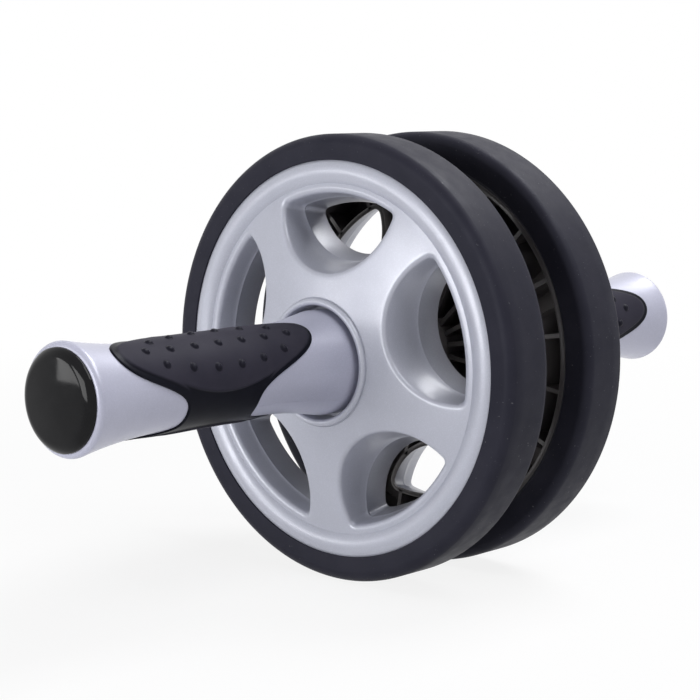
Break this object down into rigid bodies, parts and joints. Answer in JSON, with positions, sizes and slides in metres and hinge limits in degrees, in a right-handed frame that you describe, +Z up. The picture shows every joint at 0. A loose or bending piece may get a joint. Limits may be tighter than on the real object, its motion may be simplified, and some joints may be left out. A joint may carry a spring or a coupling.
{
  "type": "ab wheel roller",
  "caption": "Ab wheel roller: spoked wheels with rubber tyres that turn freely side by side on a steel axle, with a waisted, rubber-gripped handle at each end.",
  "frame": {"origin": "on the floor under the middle of the axle, halfway between the wheels", "axes": "+Y along the axle towards the left handle, +Z up, +X the way the roller rolls forward"},
  "size_m": [0.185, 0.3704, 0.185],
  "materials": {
    "wheel_silver": "satin silver moulded plastic",
    "handle_silver": "satin silver moulded plastic",
    "tyre_rubber": "matte black rubber",
    "grip_rubber": "matte black soft rubber",
    "cap_gloss": "polished black plastic",
    "axle_steel": "turned steel bar",
    "zinc_steel": "zinc plated steel",
    "bush_acetal": "black acetal"
  },
  "bodies": {
    "handlebar": {"axle": "axle_steel", "centre_spacer": "bush_acetal", "right_thrust_washer": "zinc_steel", "right_handle": "handle_silver", "right_grip": "grip_rubber", "right_end_cap": "cap_gloss", "right_end_screw": "zinc_steel", "right_screw_washer": "zinc_steel", "left_thrust_washer": "zinc_steel", "left_handle": "handle_silver", "left_grip": "grip_rubber", "left_end_cap": "cap_gloss", "left_end_screw": "zinc_steel", "left_screw_washer": "zinc_steel"},
    "right_wheel_set": {"right_wheel": "wheel_silver", "right_tyre": "tyre_rubber", "right_outer_bush": "bush_acetal", "right_inner_bush": "bush_acetal"},
    "left_wheel_set": {"left_wheel": "wheel_silver", "left_tyre": "tyre_rubber", "left_outer_bush": "bush_acetal", "left_inner_bush": "bush_acetal"}
  },
  "joints": [
    {"name": "right_wheel_spin", "type": "hinge", "parent": "handlebar", "child": "right_wheel_set", "pos_m": [0, 0, 0.0925], "axis": [0, 1, 0], "continuous": true},
    {"name": "left_wheel_spin", "type": "hinge", "parent": "handlebar", "child": "left_wheel_set", "pos_m": [0, 0, 0.0925], "axis": [0, 1, 0], "continuous": true}
  ]
}
